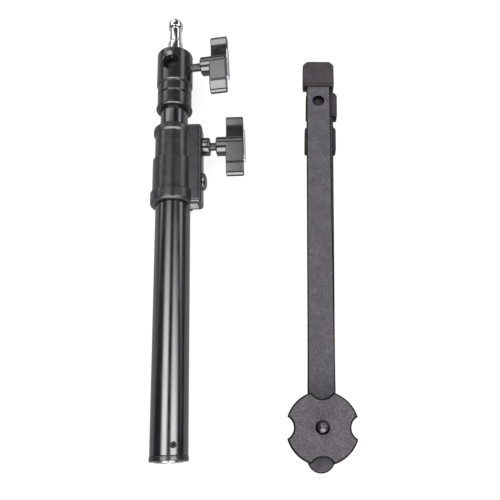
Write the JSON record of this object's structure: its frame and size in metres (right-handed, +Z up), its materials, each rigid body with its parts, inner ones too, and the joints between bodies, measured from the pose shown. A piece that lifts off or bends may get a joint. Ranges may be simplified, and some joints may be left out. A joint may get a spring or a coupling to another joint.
{
  "type": "light stand",
  "caption": "Low light stand taken apart: a folded base of flat legs with a threaded stud, and a telescoping column with a clamp collar, cross socket and spigot.",
  "frame": {"origin": "on the floor, under the middle of the stand's box as it lies taken apart", "axes": "+Z up, +Y along the folded legs and the lying column towards the boots and the spigot, +X from the column to the base"},
  "size_m": [0.2066, 0.4864, 0.0515],
  "materials": {
    "hub_grey": "fine textured grey coat",
    "leg_grey": "matt dark grey coat",
    "rubber": "matt moulded rubber",
    "gloss_black": "polished black plating",
    "satin_black": "satin black coat on a casting",
    "handle_black": "semi-gloss moulded plastic",
    "chrome": "bright chrome",
    "zinc": "bright zinc-plated steel",
    "black_nylon": "plain moulded nylon",
    "dark_steel": "dark plated steel"
  },
  "bodies": {
    "base": {"hub_plate": "hub_grey", "hub_stud": "dark_steel", "hub_sleeve": "dark_steel", "hub_washer_bottom": "black_nylon", "hub_washer_middle": "black_nylon", "hub_washer_top": "black_nylon", "leg_bottom": "leg_grey", "leg_bottom_boot": "rubber", "tail_pad": "rubber"},
    "middle_leg": {"leg_middle": "leg_grey", "leg_middle_boot": "rubber"},
    "top_leg": {"leg_top": "leg_grey", "leg_top_boot": "rubber"},
    "column": {"outer_tube": "gloss_black", "tube_foot_ring": "rubber", "tube_plug": "zinc", "plug_grub_screw": "zinc", "collar": "satin_black", "collar_bush": "black_nylon", "collar_clamp_block": "zinc", "collar_fixing_screw": "zinc", "clamp_nut": "satin_black"},
    "collar_pad": {"clamp_pad": "black_nylon"},
    "collar_knob": {"clamp_screw": "zinc", "clamp_handle": "handle_black", "clamp_handle_insert": "chrome"},
    "riser_bush": {"riser_guide": "black_nylon"},
    "riser": {"riser_tube": "gloss_black", "head": "satin_black", "spigot": "chrome"},
    "head_pad": {"head_screw_tip": "zinc"},
    "head_knob": {"head_screw": "zinc", "head_handle": "handle_black", "head_handle_insert": "chrome"}
  },
  "joints": [
    {"name": "top_leg_swing", "type": "hinge", "parent": "base", "child": "top_leg", "pos_m": [0.07225, -0.20568, 0], "axis": [0, 0, -1], "range_deg": [0, 120]},
    {"name": "middle_leg_swing", "type": "hinge", "parent": "base", "child": "middle_leg", "pos_m": [0.07225, -0.20568, 0], "axis": [0, 0, -1], "range_deg": [0, 240]},
    {"name": "column_stand_up", "type": "hinge", "parent": "base", "child": "column", "pos_m": [0.00323, -0.23593, 0.0499], "axis": [-0.3166, 0.6568, 0.6844], "range_deg": [0, 212.6]},
    {"name": "collar_pad_slide", "type": "slide", "parent": "column", "child": "collar_pad", "axis": [0.999, 0.0454, 0], "range_m": [0, 0.003]},
    {"name": "collar_knob_turn", "type": "hinge", "parent": "collar_pad", "child": "collar_knob", "pos_m": [-0.07947, 0.08213, 0.02438], "axis": [0.999, 0.0454, 0], "range_deg": [0, 721]},
    {"name": "riser_slide", "type": "slide", "parent": "column", "child": "riser_bush", "axis": [-0.0454, 0.9988, 0.0205], "range_m": [0, 0.24]},
    {"name": "riser_turn", "type": "hinge", "parent": "riser_bush", "child": "riser", "pos_m": [-0.06505, -0.23548, 0.01788], "axis": [-0.0454, 0.9988, 0.0205], "continuous": true},
    {"name": "head_pad_slide", "type": "slide", "parent": "riser", "child": "head_pad", "axis": [0.9894, 0.0421, 0.1391], "range_m": [0, 0.003]},
    {"name": "head_knob_turn", "type": "hinge", "parent": "head_pad", "child": "head_knob", "pos_m": [-0.08381, 0.17761, 0.02634], "axis": [0.9894, 0.0421, 0.1391], "range_deg": [0, 721]}
  ],
  "couplings": [
    {"joint": "collar_knob_turn", "follows": "collar_pad_slide", "rad_per_m": 4188.8},
    {"joint": "head_knob_turn", "follows": "head_pad_slide", "rad_per_m": 4188.8}
  ]
}
